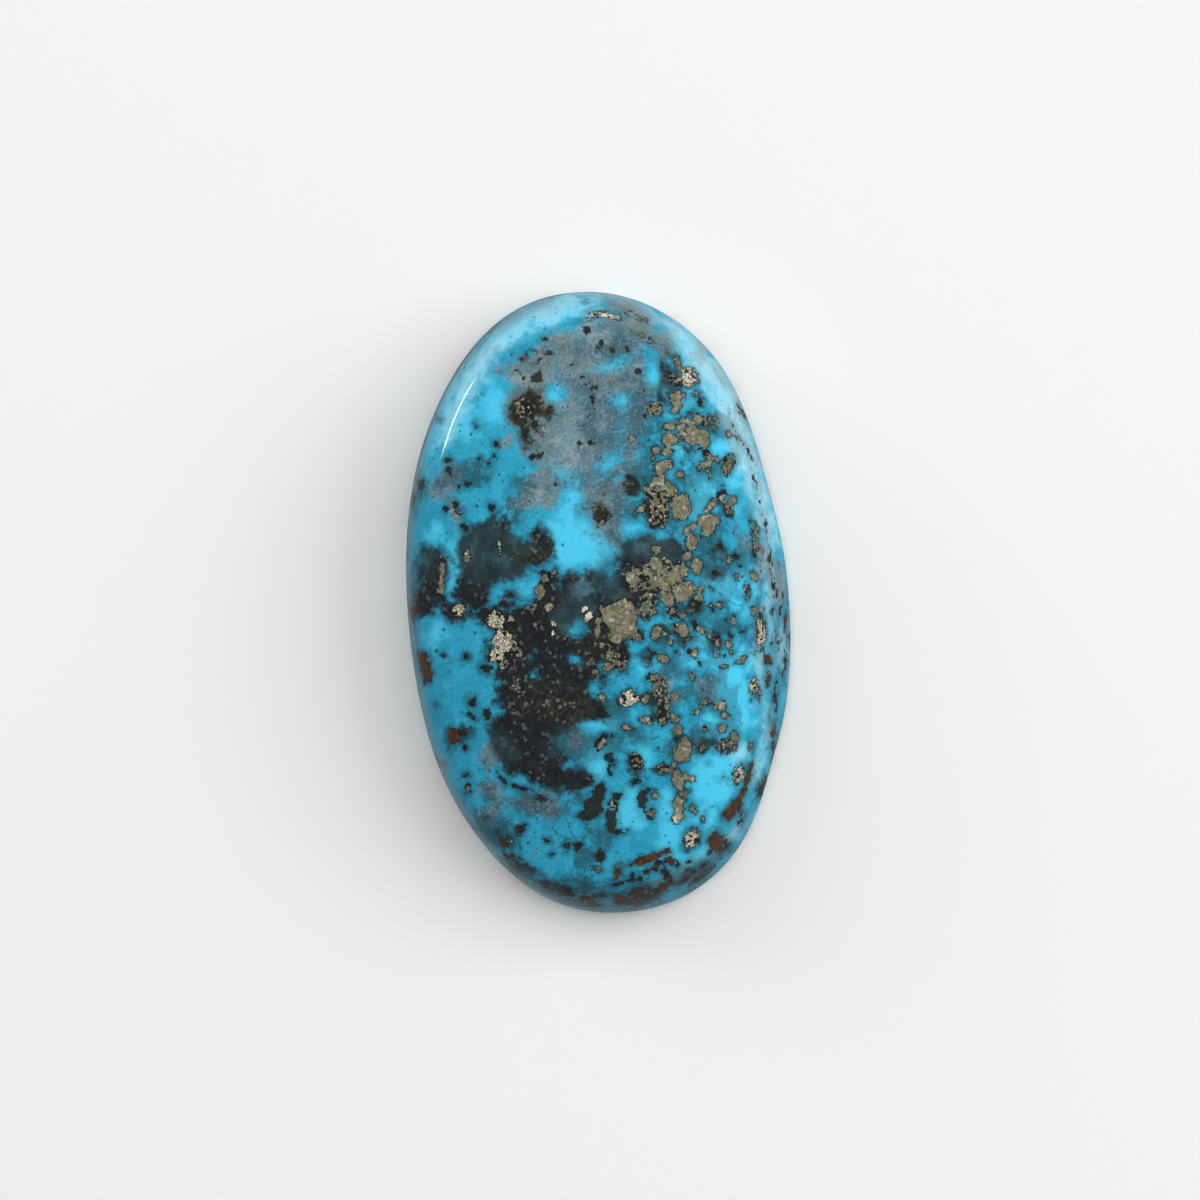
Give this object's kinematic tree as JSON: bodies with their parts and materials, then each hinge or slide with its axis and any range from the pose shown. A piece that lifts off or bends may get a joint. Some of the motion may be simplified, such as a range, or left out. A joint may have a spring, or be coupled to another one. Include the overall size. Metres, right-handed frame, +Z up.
{
  "type": "turquoise cabochon",
  "caption": "Polished oval turquoise stone with a low dome, leaning flanks and a flat ground back, for setting in jewellery or showing loose.",
  "frame": {"origin": "middle of the flat back, which lies on z = 0", "axes": "+Z up through the dome, +Y along the stone towards its end with the grey quartz, +X across it"},
  "size_m": [0.0224, 0.0362, 0.0084],
  "materials": {
    "turquoise": "polished, blue with grey quartz, dark matrix and pyrite"
  },
  "bodies": {
    "root": {"turquoise_cabochon": "turquoise"}
  },
  "joints": []
}
